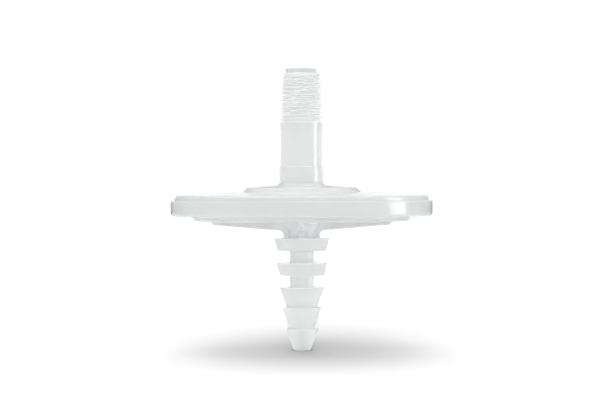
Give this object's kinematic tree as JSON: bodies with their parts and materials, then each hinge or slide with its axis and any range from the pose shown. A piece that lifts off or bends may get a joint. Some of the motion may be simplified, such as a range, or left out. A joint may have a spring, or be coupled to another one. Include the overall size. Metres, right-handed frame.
{
  "type": "capsule filter",
  "caption": "Round disc filter capsule with a taper-threaded stem on one side and a stepped hose barb on the other.",
  "frame": {"origin": "centre of the hose barb's flat end, the lowest point of the part", "axes": "+Z along the filter's axis, from the hose barb up to the threaded stem; the gussets lie along X and Y"},
  "size_m": [0.064, 0.064, 0.0689],
  "materials": {
    "housing": "natural translucent polypropylene, moulded gloss",
    "fleece": "white bonded fibre",
    "membrane": "smooth white film"
  },
  "bodies": {
    "root": {"outlet_half": "housing", "inlet_half": "housing", "outlet_fleece": "fleece", "membrane": "membrane", "inlet_fleece": "fleece"}
  },
  "joints": []
}
